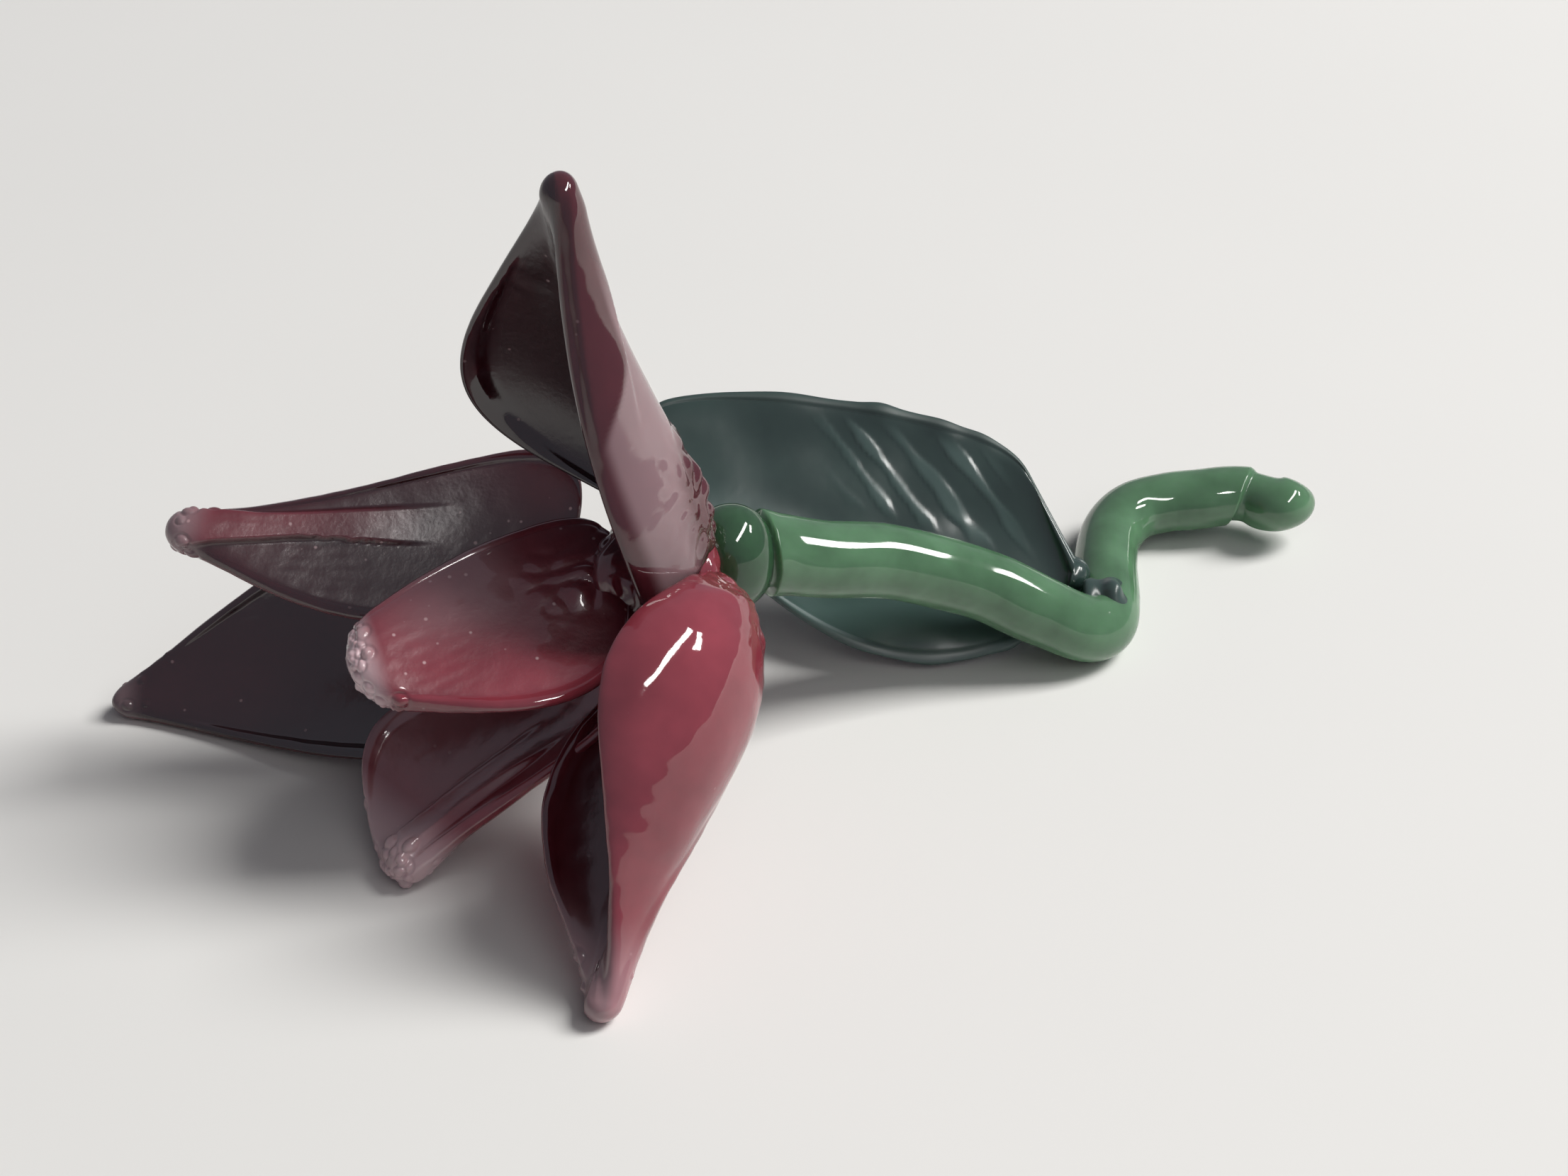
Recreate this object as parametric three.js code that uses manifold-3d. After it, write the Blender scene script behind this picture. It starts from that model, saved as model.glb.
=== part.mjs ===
// A lampworked glass flower lying on a table. Six cupped red petals are fused round a red heart,
// a green bead joins the heart to a bent green stem, and one pressed green leaf is fused to the stem's bend.
// Millimetres, +Z up. The table is Z = 0, the flower opens towards -X, and its stem runs towards +X.
import * as THREE from "three";
import { mergeVertices } from "three/addons/utils/BufferGeometryUtils.js";
import Module from "manifold-3d";

// Clearance kept between pieces that are fused on the real flower
const GAP = 0.3;

// Heart: the lump of red glass that the petals are fused to, longer along the way that the flower opens.
// Everything else is placed from its centre.
const HEART_RADIUS = 4.6;
const HEART_HALF_LENGTH = 6.5;
const HEART_HEADING = 10;

// Petals: each is a rod of red glass pressed flat and cupped, with its round end left as a knob at the tip.
// seat is where its root meets the heart, in shares of the heart's half sizes along its own axes. heading
// turns the petal about the vertical from +X, pitch lifts its tip, and roll turns its hollow face about its
// own length. width is across the edges and depth is how far they stand off the midrib. skew gives one edge
// more of the width than the other, and slant slides the edges along the midrib. sag bows the midrib out
// near the heart, and curl bends the tip towards the hollow face. neck is the share of the length left as a
// rod at the heart, fullest is the widest place beyond it, and lead is how much later one edge gets there and
// the other one sooner. taper above 1 draws the ends out, and knob is the radius of the tip.
const PETAL_THICKNESS = 2.9;
const NECK_RADIUS = 2.2;
const PETAL_TOP = {
  name: "petal_top",
  seat: [0.554, -0.143, 0.65],
  heading: -5.2,
  pitch: 107.7,
  roll: 18.5,
  length: 40.7,
  width: 20.6,
  depth: 11.7,
  skew: 0.21,
  slant: 2.4,
  sag: 2.9,
  curl: -2,
  neck: 0,
  fullest: 0.264,
  lead: 0.11,
  taper: 1.14,
  knob: 1.8,
};
const PETAL_BACK = {
  name: "petal_back",
  seat: [-0.477, 0.915, -0.224],
  heading: 181.6,
  pitch: 5.6,
  roll: -37.4,
  length: 43.7,
  width: 17.9,
  depth: 1.8,
  skew: -0.16,
  slant: 2.5,
  sag: 1.3,
  curl: 0.5,
  neck: 0.1,
  fullest: 0.286,
  lead: 0.12,
  taper: 1.13,
  knob: 2.1,
};
const PETAL_FAR_LEFT = {
  name: "petal_far_left",
  seat: [-0.203, 0.878, -0.87],
  heading: 173.7,
  pitch: -22.2,
  roll: -42.8,
  length: 58.6,
  width: 25.3,
  depth: 5.5,
  skew: 0.01,
  slant: 2.2,
  sag: 4.1,
  curl: 6.1,
  neck: 0.14,
  fullest: 0.303,
  lead: -0.05,
  taper: 0.9,
  knob: 1.6,
};
const PETAL_CENTRE = {
  name: "petal_centre",
  seat: [-0.444, -0.023, 0.289],
  heading: 209.2,
  pitch: -3.7,
  roll: -26.3,
  length: 28.2,
  width: 18.4,
  depth: 3.1,
  skew: 0.26,
  slant: 1.9,
  sag: 1.3,
  curl: 0,
  neck: 0,
  fullest: 0.296,
  lead: -0.01,
  taper: 0.65,
  knob: 4.1,
};
const PETAL_NEAR_LEFT = {
  name: "petal_near_left",
  seat: [-0.465, -0.611, -0.761],
  heading: 215.5,
  pitch: -34.5,
  roll: 8.4,
  length: 33.8,
  width: 18.5,
  depth: 4.1,
  skew: -0.32,
  slant: -1.4,
  sag: 5.6,
  curl: 0,
  neck: 0.1,
  fullest: 0.326,
  lead: -0.25,
  taper: 0.76,
  knob: 2.4,
};
const PETAL_NEAR = {
  name: "petal_near",
  seat: [0.947, -0.886, 0.455],
  heading: -106.7,
  pitch: -34.8,
  roll: 45.4,
  length: 43.8,
  width: 17.7,
  depth: 14.2,
  skew: 0.22,
  slant: 4.4,
  sag: 7.9,
  curl: 0.4,
  neck: 0,
  fullest: 0.376,
  lead: -0.14,
  taper: 1.33,
  knob: 1.8,
};

// Bead between the heart and the stem, seated along its heading and pitch, and sunk into the heart
const BEAD_RADIUS = 4.5;
const BEAD_SINK = 2.4;
const BEAD_HEADING = 33.4;
const BEAD_PITCH = -4.5;

// Stem: a rod that slopes down from the bead to the table, turns back along it, turns again and ends in a
// nipped-off drop. Reach, sway and drop lead from the bead's centre to the first bend, and tail, foot and
// lift from there to the end. The shares are the points of its middle line along them.
const STEM_RADIUS = 4.1;
const STEM_END_RADIUS = 3.3;
const STEM_REACH = 41.7;
const STEM_SWAY = 10.2;
const STEM_DROP = 19.1;
const STEM_FOOT = 24;
const STEM_TAIL = 26.2;
const STEM_TAIL_LIFT = 1.3;
const STEM_SLOPE_SHARES = [
  [0.243, 0.404, 0.226],
  [0.44, 0.739, 0.398],
  [0.646, 0.933, 0.618],
  [0.8, 0.969, 0.81],
  [0.915, 0.995, 0.954],
];
const STEM_TAIL_SHARES = [
  [-0.03, 0.07, 0],
  [0.01, 0.23, 0],
  [0.03, 0.5, 0],
  [0.085, 0.75, 0],
  [0.2, 0.92, 0.23],
  [0.35, 0.98, 0.46],
  [0.5, 0.985, 0.77],
  [0.7, 0.99, 1],
  [0.85, 0.915, 1],
  [1, 0.95, 1],
];
const STEM_END_ROUNDING = 1.2;
const STEM_NIP_FROM_END = 10;
const STEM_NIP_HALF_WIDTH = 1.2;
const STEM_NIP_SHARE = 0.08;
const STEM_TIP_LENGTH = 7;

// Leaf: pressed flat, leaning back behind the stem. Its seat is counted in stem radii from the first bend.
const LEAF_THICKNESS = 2.8;
const LEAF = {
  name: "leaf",
  seat: [-0.44, 1.46, 0.61],
  heading: 168.7,
  pitch: 13.3,
  roll: -46,
  length: 50.6,
  width: 27.1,
  depth: 2.2,
  skew: 0.13,
  slant: -10.8,
  sag: 1,
  curl: 0.8,
  neck: 0.05,
  fullest: 0.391,
  lead: 0.24,
  taper: 0.42,
  knob: 1.4,
};

// Fineness of the surfaces, and how sharply the two halves of a blade meet at the midrib
const BLADE_CREASE = 0.45;
const BLADE_ROWS = 22;
const BLADE_COLUMNS = 20;
const STEM_STEPS = 60;
const STEM_SIDES = 14;
const BALL_COLUMNS = 20;
const BALL_ROWS = 12;
const WELD_DISTANCE = 1e-4;

const RED_GLASS = new THREE.MeshStandardMaterial({ color: 0x5c1a22, roughness: 0.08, metalness: 0 });
const GREEN_GLASS = new THREE.MeshStandardMaterial({ color: 0x2f6b3c, roughness: 0.08, metalness: 0 });
const LEAF_GLASS = new THREE.MeshStandardMaterial({ color: 0x1f3b30, roughness: 0.1, metalness: 0 });

const radians = THREE.MathUtils.degToRad;
const lerp = THREE.MathUtils.lerp;
const VERTICAL = new THREE.Vector3(0, 0, 1);

// Height of a quarter round, as a share of its radius, at a distance from its end
function quarterRound(distance, radius) {
  const inside = 1 - THREE.MathUtils.clamp(distance / radius, 0, 1);
  return Math.sqrt(1 - inside ** 2);
}

// Closed skin over a row of rings with the same number of points, with a pole at each end
function closedSkin(startPole, rings, endPole) {
  const around = rings[0].length;
  const points = [startPole, ...rings.flat(), endPole];
  const last = points.length - 1;
  const index = (ring, point) => 1 + ring * around + (point % around);
  const faces = [];
  for (let p = 0; p < around; p++) {
    faces.push(0, index(0, p + 1), index(0, p));
    faces.push(last, index(rings.length - 1, p), index(rings.length - 1, p + 1));
    for (let r = 0; r + 1 < rings.length; r++) {
      faces.push(index(r, p), index(r, p + 1), index(r + 1, p + 1));
      faces.push(index(r, p), index(r + 1, p + 1), index(r + 1, p));
    }
  }
  const geometry = new THREE.BufferGeometry().setFromPoints(points);
  geometry.setIndex(faces);
  return geometry;
}

// Petal or leaf along +X from its neck, with its hollow face towards +Z, grown all round by a clearance
function bladeGeometry(blade, thickness, clearance) {
  const { length, width, depth, skew, slant, sag, curl, neck, fullest, lead, taper, knob } = blade;
  const creaseRise = Math.hypot(BLADE_CREASE, 1) - BLADE_CREASE;
  const spreadAt = (beyondNeck, widest) => {
    const peak = Math.log(0.5) / Math.log(widest);
    return Math.max(0, Math.sin(Math.PI * beyondNeck ** peak)) ** taper;
  };
  const ring = (t) => {
    const beyondNeck = Math.max(0, t - neck) / (1 - neck);
    const middle = spreadAt(beyondNeck, fullest);
    const rod = lerp(NECK_RADIUS, knob, t);
    const round = Math.min(quarterRound(t * length, NECK_RADIUS), quarterRound((1 - t) * length, knob));
    const halfThickness = round * lerp(rod, thickness / 2, Math.sqrt(middle)) + clearance;
    const bow = curl * t ** 4 - sag * middle * (1 - t);
    return Array.from({ length: BLADE_COLUMNS }, (_, i) => {
      const turn = (2 * Math.PI * i) / BLADE_COLUMNS;
      const side = Math.sign(Math.cos(turn));
      const spread = spreadAt(beyondNeck, fullest + lead * side);
      const halfWidth = Math.hypot(rod * round, (width / 2) * spread) + clearance;
      const rise = (depth * spread) / creaseRise;
      const share = Math.cos(turn) * (1 + skew * spread * side);
      const hollow = Math.hypot(BLADE_CREASE, share);
      const lean = Math.atan((rise * share) / (hollow * halfWidth));
      const offset = halfThickness * Math.sin(turn);
      return new THREE.Vector3(
        t * length + slant * spread * share,
        halfWidth * share - offset * Math.sin(lean),
        bow + rise * (hollow - BLADE_CREASE) + offset * Math.cos(lean),
      );
    });
  };
  const rings = [];
  for (let r = 1; r < BLADE_ROWS; r++) rings.push(ring((1 - Math.cos((Math.PI * r) / BLADE_ROWS)) / 2));
  return closedSkin(new THREE.Vector3(0, 0, 0), rings, new THREE.Vector3(length, 0, curl));
}

function bladeMesh(blade, thickness, root, glass, clearance) {
  const mesh = new THREE.Mesh(bladeGeometry(blade, thickness, clearance), glass);
  mesh.name = blade.name;
  mesh.rotation.set(radians(blade.roll), radians(-blade.pitch), radians(blade.heading), "ZYX");
  mesh.position.copy(root);
  return mesh;
}

const HEART_SIZES = new THREE.Vector3(HEART_HALF_LENGTH, HEART_RADIUS, HEART_RADIUS);

// Heart, or the same lump grown by a clearance for cutting what is fused to it
function heartMesh(clearance) {
  const mesh = new THREE.Mesh(new THREE.SphereGeometry(1, BALL_COLUMNS, BALL_ROWS), RED_GLASS);
  mesh.name = "heart";
  mesh.scale.copy(HEART_SIZES).addScalar(clearance);
  mesh.rotation.z = radians(HEART_HEADING);
  return mesh;
}

// Petal on its seat in the heart, or the same petal grown by a clearance
function petalMesh(petal, clearance) {
  const root = new THREE.Vector3(...petal.seat).multiply(HEART_SIZES);
  root.applyAxisAngle(VERTICAL, radians(HEART_HEADING));
  return bladeMesh(petal, PETAL_THICKNESS, root, RED_GLASS, clearance);
}

// The bead was pushed into the heart while both were soft
function beadCentre() {
  const turn = new THREE.Euler(0, radians(-BEAD_PITCH), radians(BEAD_HEADING), "ZYX");
  const way = new THREE.Vector3(1, 0, 0).applyEuler(turn);
  const inHeart = way.clone().applyAxisAngle(VERTICAL, radians(-HEART_HEADING)).divide(HEART_SIZES);
  return way.multiplyScalar(1 / inHeart.length() + GAP + BEAD_RADIUS - BEAD_SINK);
}

function beadMesh() {
  const mesh = new THREE.Mesh(new THREE.SphereGeometry(BEAD_RADIUS, BALL_COLUMNS, BALL_ROWS), GREEN_GLASS);
  mesh.name = "bead";
  mesh.position.copy(beadCentre());
  return mesh;
}

// First bend of the stem, where the leaf is fused on
function stemBend() {
  return beadCentre().add(new THREE.Vector3(STEM_REACH, STEM_SWAY, -STEM_DROP));
}

// Middle line of the stem: the slope from the bead, the foot along the table, and the tail
function stemPath() {
  const bead = beadCentre();
  const bend = stemBend();
  const slope = new THREE.Vector3(STEM_REACH, STEM_SWAY, -STEM_DROP);
  const tail = new THREE.Vector3(STEM_TAIL, STEM_FOOT, STEM_TAIL_LIFT);
  const slopePoints = STEM_SLOPE_SHARES.map((share) => new THREE.Vector3(...share).multiply(slope).add(bead));
  const tailPoints = STEM_TAIL_SHARES.map((share) => new THREE.Vector3(...share).multiply(tail).add(bend));
  const points = [...slopePoints, ...tailPoints];
  const away = points[0].clone().sub(bead).normalize();
  return new THREE.CatmullRomCurve3([bead.addScaledVector(away, BEAD_RADIUS + GAP), ...points]);
}

// Stem, or the same rod grown by a clearance for cutting the leaf: it tapers, with a nip before its tip
function stemMesh(clearance) {
  const path = stemPath();
  const length = path.getLength();
  const frames = path.computeFrenetFrames(STEM_STEPS, false);
  const rings = [];
  for (let s = 1; s < STEM_STEPS; s++) {
    const u = s / STEM_STEPS;
    const toEnd = (1 - u) * length;
    const fromNip = (toEnd - STEM_NIP_FROM_END) / STEM_NIP_HALF_WIDTH;
    const nip = 1 - STEM_NIP_SHARE * Math.exp(-(fromNip ** 2));
    const ends = quarterRound(u * length, STEM_END_ROUNDING) * quarterRound(toEnd, STEM_TIP_LENGTH);
    const radius = lerp(STEM_RADIUS, STEM_END_RADIUS, u) * nip * ends + clearance;
    const centre = path.getPointAt(u);
    rings.push(Array.from({ length: STEM_SIDES }, (_, i) => {
      const turn = (2 * Math.PI * i) / STEM_SIDES;
      return centre.clone()
        .addScaledVector(frames.normals[s], radius * Math.cos(turn))
        .addScaledVector(frames.binormals[s], radius * Math.sin(turn));
    }));
  }
  const mesh = new THREE.Mesh(closedSkin(path.getPointAt(0), rings, path.getPointAt(1)), GREEN_GLASS);
  mesh.name = "stem";
  return mesh;
}

function leafMesh() {
  const root = new THREE.Vector3(...LEAF.seat).multiplyScalar(STEM_RADIUS).add(stemBend());
  return bladeMesh(LEAF, LEAF_THICKNESS, root, LEAF_GLASS, 0);
}

const wasm = await Module();
wasm.setup();

// Solid of a mesh where it stands in the flower
function solidOf(mesh) {
  mesh.updateMatrixWorld();
  const placed = new THREE.BufferGeometry();
  placed.setAttribute("position", mesh.geometry.getAttribute("position").clone());
  placed.setIndex(mesh.geometry.index);
  placed.applyMatrix4(mesh.matrixWorld);
  const welded = mergeVertices(placed, WELD_DISTANCE);
  const vertProperties = welded.getAttribute("position").array;
  const triVerts = new Uint32Array(welded.index.array);
  return new wasm.Manifold(new wasm.Mesh({ numProp: 3, vertProperties, triVerts }));
}

// The mesh with its cutters taken out of it
function carve(mesh, cutters) {
  let solid = solidOf(mesh);
  for (const cutter of cutters) solid = solid.subtract(solidOf(cutter));
  const left = solid.getMesh();
  const geometry = new THREE.BufferGeometry();
  geometry.setAttribute("position", new THREE.BufferAttribute(new Float32Array(left.vertProperties), 3));
  geometry.setIndex(Array.from(left.triVerts));
  const carved = new THREE.Mesh(geometry, mesh.material);
  carved.name = mesh.name;
  return carved;
}

// Each petal gives way to the heart and to the petals that were fused on before it
const flower = new THREE.Group();
const fused = [heartMesh(GAP)];
for (const petal of [PETAL_TOP, PETAL_BACK, PETAL_FAR_LEFT, PETAL_CENTRE, PETAL_NEAR_LEFT, PETAL_NEAR]) {
  flower.add(carve(petalMesh(petal, 0), fused));
  fused.push(petalMesh(petal, GAP));
}
flower.add(heartMesh(0));
flower.add(carve(beadMesh(), fused));
flower.add(stemMesh(0));
flower.add(carve(leafMesh(), [stemMesh(GAP)]));

// The part's origin is under the middle of the flower, on the table
const box = new THREE.Box3().setFromObject(flower, true);
const middle = box.getCenter(new THREE.Vector3());
flower.position.set(-middle.x, -middle.y, -box.min.z);
const part = new THREE.Group();
part.add(flower);
export default part;
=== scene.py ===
import math

import bpy
import numpy as np
from mathutils import Euler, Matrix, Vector


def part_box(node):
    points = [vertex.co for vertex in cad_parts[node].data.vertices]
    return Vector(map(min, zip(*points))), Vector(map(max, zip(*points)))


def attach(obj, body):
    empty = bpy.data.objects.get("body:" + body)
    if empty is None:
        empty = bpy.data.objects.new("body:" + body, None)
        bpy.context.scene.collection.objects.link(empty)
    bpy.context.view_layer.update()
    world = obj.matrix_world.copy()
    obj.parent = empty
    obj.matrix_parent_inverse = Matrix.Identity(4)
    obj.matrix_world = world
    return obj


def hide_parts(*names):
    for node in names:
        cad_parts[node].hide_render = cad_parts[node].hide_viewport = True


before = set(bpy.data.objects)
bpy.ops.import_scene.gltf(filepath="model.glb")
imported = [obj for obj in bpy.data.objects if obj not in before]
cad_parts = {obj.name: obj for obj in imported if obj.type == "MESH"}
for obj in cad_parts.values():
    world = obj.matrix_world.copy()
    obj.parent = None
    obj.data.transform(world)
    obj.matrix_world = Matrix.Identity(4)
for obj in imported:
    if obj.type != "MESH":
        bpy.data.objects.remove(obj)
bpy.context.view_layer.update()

# The table is a plain white painted board in a dim room. A window on the right, a little behind the flower,
# and a faint skylight in front of it give the light and the shadows. The glass doesn't mirror these, but two
# bright strips that light nothing matt: the long gleam high up and the short sill below it.
MM = 0.001
BOARD_SIZE = 6000 * MM
PAINT_COLOURS = ("#ececea", "#f0f0ee")
PAINT_CLOUD_SIZE = 90 * MM
PAINT_ROUGHNESS = 0.6
ROOM_COLOUR = "#d9d8e8"
ROOM_LEFT = 0.05
ROOM_RIGHT = 0.25
ROOM_GLEAM = 0.4
LIGHT_COLOUR = "#fffdfa"
LIGHT_DISTANCE = 2500 * MM
WINDOW_SIZE = (760 * MM, 1300 * MM)
WINDOW_ELEVATION = 49
WINDOW_AZIMUTH = 13
WINDOW_POWER = 68
SKYLIGHT_SIZE = (2000 * MM, 2000 * MM)
SKYLIGHT_ELEVATION = 52
SKYLIGHT_AZIMUTH = -50
SKYLIGHT_POWER = 9
GLEAM_SIZE = (2800 * MM, 260 * MM)
GLEAM_ELEVATION = 54
GLEAM_AZIMUTH = -18
GLEAM_POWER = 48
SILL_SIZE = (700 * MM, 200 * MM)
SILL_ELEVATION = 36
SILL_AZIMUTH = 13
SILL_POWER = 10
CAMERA_PLACE = (4.7 * MM, -171.1 * MM, 153.6 * MM)
CAMERA_TILT = 52
CAMERA_LENS = 50
CAMERA_SENSOR = 36


def linear(colour):
    """An sRGB hex colour as linear red, green, blue and alpha."""
    shares = [int(colour[i:i + 2], 16) / 255 for i in (1, 3, 5)]
    return [s / 12.92 if s <= 0.04045 else ((s + 0.055) / 1.055) ** 2.4 for s in shares] + [1]


def add_node(tree, kind, inputs=None, **settings):
    """Adds one node. An input is a value to set or another node's output to link."""
    node = tree.nodes.new(kind)
    for name, value in settings.items():
        setattr(node, name, value)
    for name, value in (inputs or {}).items():
        if isinstance(value, bpy.types.NodeSocket):
            tree.links.new(value, node.inputs[name])
        else:
            node.inputs[name].default_value = value
    return node


def new_material(name):
    """An empty material: its node tree, and the object coordinates that its patterns read."""
    material = bpy.data.materials.new(name)
    material.use_nodes = True
    tree = material.node_tree
    tree.nodes.clear()
    return material, tree, add_node(tree, "ShaderNodeTexCoord").outputs["Object"]


def painted_board():
    """Matt white paint on a flat board, with a faint cloudiness in the coat."""
    material, tree, place = new_material("matt white paint")
    cloud = add_node(tree, "ShaderNodeTexNoise", {
        "Vector": place, "Scale": 1 / PAINT_CLOUD_SIZE, "Detail": 3.0,
    })
    tint = add_node(tree, "ShaderNodeMix", {
        "Factor": cloud.outputs["Fac"], "A": linear(PAINT_COLOURS[0]), "B": linear(PAINT_COLOURS[1]),
    }, data_type="RGBA")
    coat = add_node(tree, "ShaderNodeBsdfPrincipled", {
        "Base Color": tint.outputs["Result"], "Roughness": PAINT_ROUGHNESS,
    })
    add_node(tree, "ShaderNodeOutputMaterial", {"Surface": coat.outputs["BSDF"]})
    return material


bpy.ops.object.select_all(action="DESELECT")
bpy.ops.mesh.primitive_plane_add(size=BOARD_SIZE)
board = bpy.context.object
board.name = "board"
board.data.materials.append(painted_board())

room = bpy.data.worlds.new("room")
bpy.context.scene.world = room
room.use_nodes = True
walls = room.node_tree
outward = add_node(walls, "ShaderNodeTexCoord").outputs["Generated"]
across_room = add_node(walls, "ShaderNodeSeparateXYZ", {"Vector": outward}).outputs["X"]
glow = add_node(walls, "ShaderNodeMapRange", {
    "Value": across_room, "To Min": ROOM_LEFT, "To Max": ROOM_RIGHT,
}).outputs["Result"]
mirrored = add_node(walls, "ShaderNodeLightPath").outputs["Is Glossy Ray"]
strength = add_node(walls, "ShaderNodeMapRange", {"Value": mirrored, "To Min": glow, "To Max": ROOM_GLEAM})
walls.nodes["Background"].inputs["Color"].default_value = linear(ROOM_COLOUR)
walls.links.new(strength.outputs["Result"], walls.nodes["Background"].inputs["Strength"])


def hang_light(name, size, elevation, azimuth, power):
    """A bright pane that faces the flower. Its azimuth is counted from the right toward the back."""
    toward = Vector((0, -1, 0))
    toward.rotate(Euler((-math.radians(elevation), 0, math.radians(90 + azimuth))))
    bpy.ops.object.light_add(type="AREA", location=toward * LIGHT_DISTANCE)
    pane = bpy.context.object
    pane.name = name
    pane.rotation_euler = toward.to_track_quat("Z", "Y").to_euler()
    pane.data.shape = "RECTANGLE"
    pane.data.size, pane.data.size_y = size
    pane.data.energy = power
    pane.data.color = linear(LIGHT_COLOUR)[:3]
    return pane


window = hang_light("window", WINDOW_SIZE, WINDOW_ELEVATION, WINDOW_AZIMUTH, WINDOW_POWER)
window.visible_glossy = False
skylight = hang_light("skylight", SKYLIGHT_SIZE, SKYLIGHT_ELEVATION, SKYLIGHT_AZIMUTH, SKYLIGHT_POWER)
skylight.visible_glossy = False
gleam = hang_light("gleam", GLEAM_SIZE, GLEAM_ELEVATION, GLEAM_AZIMUTH, GLEAM_POWER)
gleam.visible_diffuse = False
sill = hang_light("sill", SILL_SIZE, SILL_ELEVATION, SILL_AZIMUTH, SILL_POWER)
sill.visible_diffuse = False

bpy.ops.object.camera_add(location=CAMERA_PLACE, rotation=(math.radians(CAMERA_TILT), 0, 0))
camera = bpy.context.object
camera.data.lens = CAMERA_LENS
camera.data.sensor_width = CAMERA_SENSOR
bpy.context.scene.camera = camera
bpy.context.scene.view_settings.view_transform = "Standard"

# The petals are rods of soft, nearly opaque dark red glass. Each was pressed flat while hot, which left a
# thick rounded rim, chill marks and the rod's own roundness as a rib below its tip. Then it was cupped and
# fused to the heart.
BLADE_COLUMNS = 220
BLADE_ROWS = 190
PETAL_THICKNESS = 2.3
NECK_RADIUS = 2.2
NECK_WRAP = 10
RIM_FULLNESS = 2.6
LIP_DEPTH = 0.3
RIPPLE_COUNT = 24
RIPPLE_EASE = 5
WAVE_SIZE = 7
WAVE_HEIGHT = 0.04
DIMPLE_SIZE = 2.2
DIMPLE_HEIGHT = 0.012
CHILL_PATCH_SIZE = 9
CHILL_MARK_SIZE = 1.1
CHILL_MARK_STRETCH = 3
CHILL_MARK_HEIGHT = 0.06
CRINKLE_SIZE = 3.2
CRINKLE_SPREAD = 3.5
BLISTER_RADII = (0.25, 0.65)
BLISTER_HEIGHT = 0.35
BLISTER_GROOVE = 0.7
CLOUD_STOPS = (0.3, 0.75)
RED_COLOURS = ("#762c37", "#8f3b47")
RED_CLOUD_SIZE = 7 * MM
# The shaded colour is painted shade: faces that lie in shade are mixed toward it.
SHADED_COLOUR = "#0c090c"
# The milk colour is the milky tips' own colour, and is also laid on faces as painted light and painted
# reflection.
MILK_AND_PAINTED_LIGHT_COLOUR = "#d8bcc2"
# The seed colour is pale seeds, and on the frosted faces it also makes painted glints.
SEED_AND_PAINTED_GLINT_COLOUR = "#d6b3b6"
SEED_SPACING = 1.5 * MM
PEEL_SIZE = 0.6 * MM
PEEL_DEPTH = 0.12 * MM
HEART_HALF_SIZES = Vector((6.5, 4.6, 4.6))
HEART_HEADING = 10
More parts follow.
